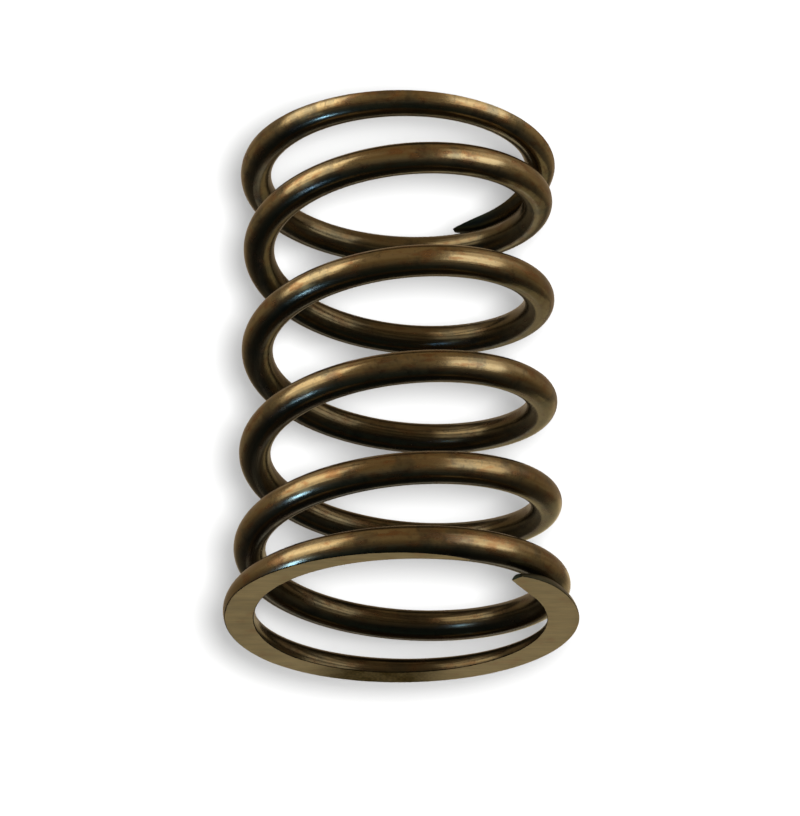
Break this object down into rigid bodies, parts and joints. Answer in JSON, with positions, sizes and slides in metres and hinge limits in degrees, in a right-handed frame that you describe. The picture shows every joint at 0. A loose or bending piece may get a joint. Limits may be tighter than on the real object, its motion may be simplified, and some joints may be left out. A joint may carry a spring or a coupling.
{
  "type": "clutch spring",
  "caption": "Clutch compression spring of round steel wire with a wide lower end turn and both ends closed and ground flat.",
  "frame": {"origin": "centre of the lower ground face, on the axis of the coil", "axes": "+Z along the axis of the coil, from the wide lower end to the upper end; -Y is the side that the picture shows"},
  "size_m": [0.0276, 0.0273, 0.04],
  "materials": {
    "spring_steel": "satin"
  },
  "bodies": {
    "root": {"clutch_spring": "spring_steel"}
  },
  "joints": []
}
